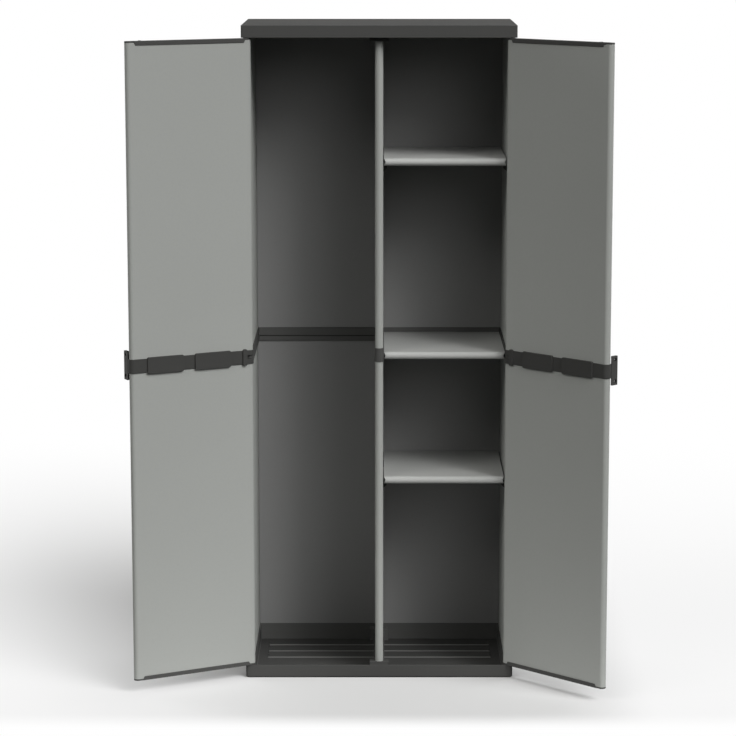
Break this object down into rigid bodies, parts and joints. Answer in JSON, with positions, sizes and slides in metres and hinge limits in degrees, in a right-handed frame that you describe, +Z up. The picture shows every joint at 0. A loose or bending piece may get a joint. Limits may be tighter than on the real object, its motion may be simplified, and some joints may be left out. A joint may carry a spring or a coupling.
{
  "type": "plastic storage cabinet",
  "caption": "Tall plastic cabinet with hinged doors on a tray base: a full-height compartment beside a shelved one, and padlock plates on the door edges.",
  "frame": {"origin": "on the floor, under the middle of the base's plan", "axes": "+Z up, +X to the right seen from the front, the doors' side faces -Y; rest is the picture's pose, with both doors part open"},
  "size_m": [1.2078, 0.6111, 1.6545],
  "materials": {
    "panel": "light grey twin-wall plastic, fine satin grain",
    "shelf": "light grey plastic, fine satin grain",
    "moulding": "anthracite moulded plastic, fine eroded grain",
    "pin": "dark moulded plastic, smooth"
  },
  "bodies": {
    "cabinet": {"back_connector": "moulding", "back_joiner_lower": "moulding", "back_joiner_upper": "moulding", "back_panel_left_lower": "panel", "back_panel_left_upper": "panel", "back_panel_right_lower": "panel", "back_panel_right_upper": "panel", "base": "moulding", "divider_joiner": "moulding", "divider_lower": "panel", "divider_upper": "panel", "lid": "moulding", "shelf_bottom": "shelf", "shelf_clips_bottom": "moulding", "shelf_clips_top": "moulding", "shelf_middle": "shelf", "shelf_top": "shelf", "side_connector_left": "moulding", "side_connector_right": "moulding", "side_panel_left_lower": "panel", "side_panel_left_upper": "panel", "side_panel_right_lower": "panel", "side_panel_right_upper": "panel"},
    "left_door": {"left_door_band": "moulding", "left_door_bottom_cap": "moulding", "left_door_hinge_pins": "pin", "left_door_lower_panel": "panel", "left_door_padlock_plate": "moulding", "left_door_top_cap": "moulding", "left_door_upper_panel": "panel"},
    "right_door": {"right_door_band": "moulding", "right_door_bottom_cap": "moulding", "right_door_hinge_pins": "pin", "right_door_lower_panel": "panel", "right_door_padlock_plate": "moulding", "right_door_top_cap": "moulding", "right_door_upper_panel": "panel"}
  },
  "joints": [
    {"name": "left_door_hinge", "type": "hinge", "parent": "cabinet", "child": "left_door", "pos_m": [-0.3266, -0.185, 0], "axis": [0, 0, 1], "range_deg": [-28, 152]},
    {"name": "right_door_hinge", "type": "hinge", "parent": "cabinet", "child": "right_door", "pos_m": [0.3266, -0.185, 0], "axis": [0, 0, 1], "range_deg": [-135.7, 44.3]}
  ]
}
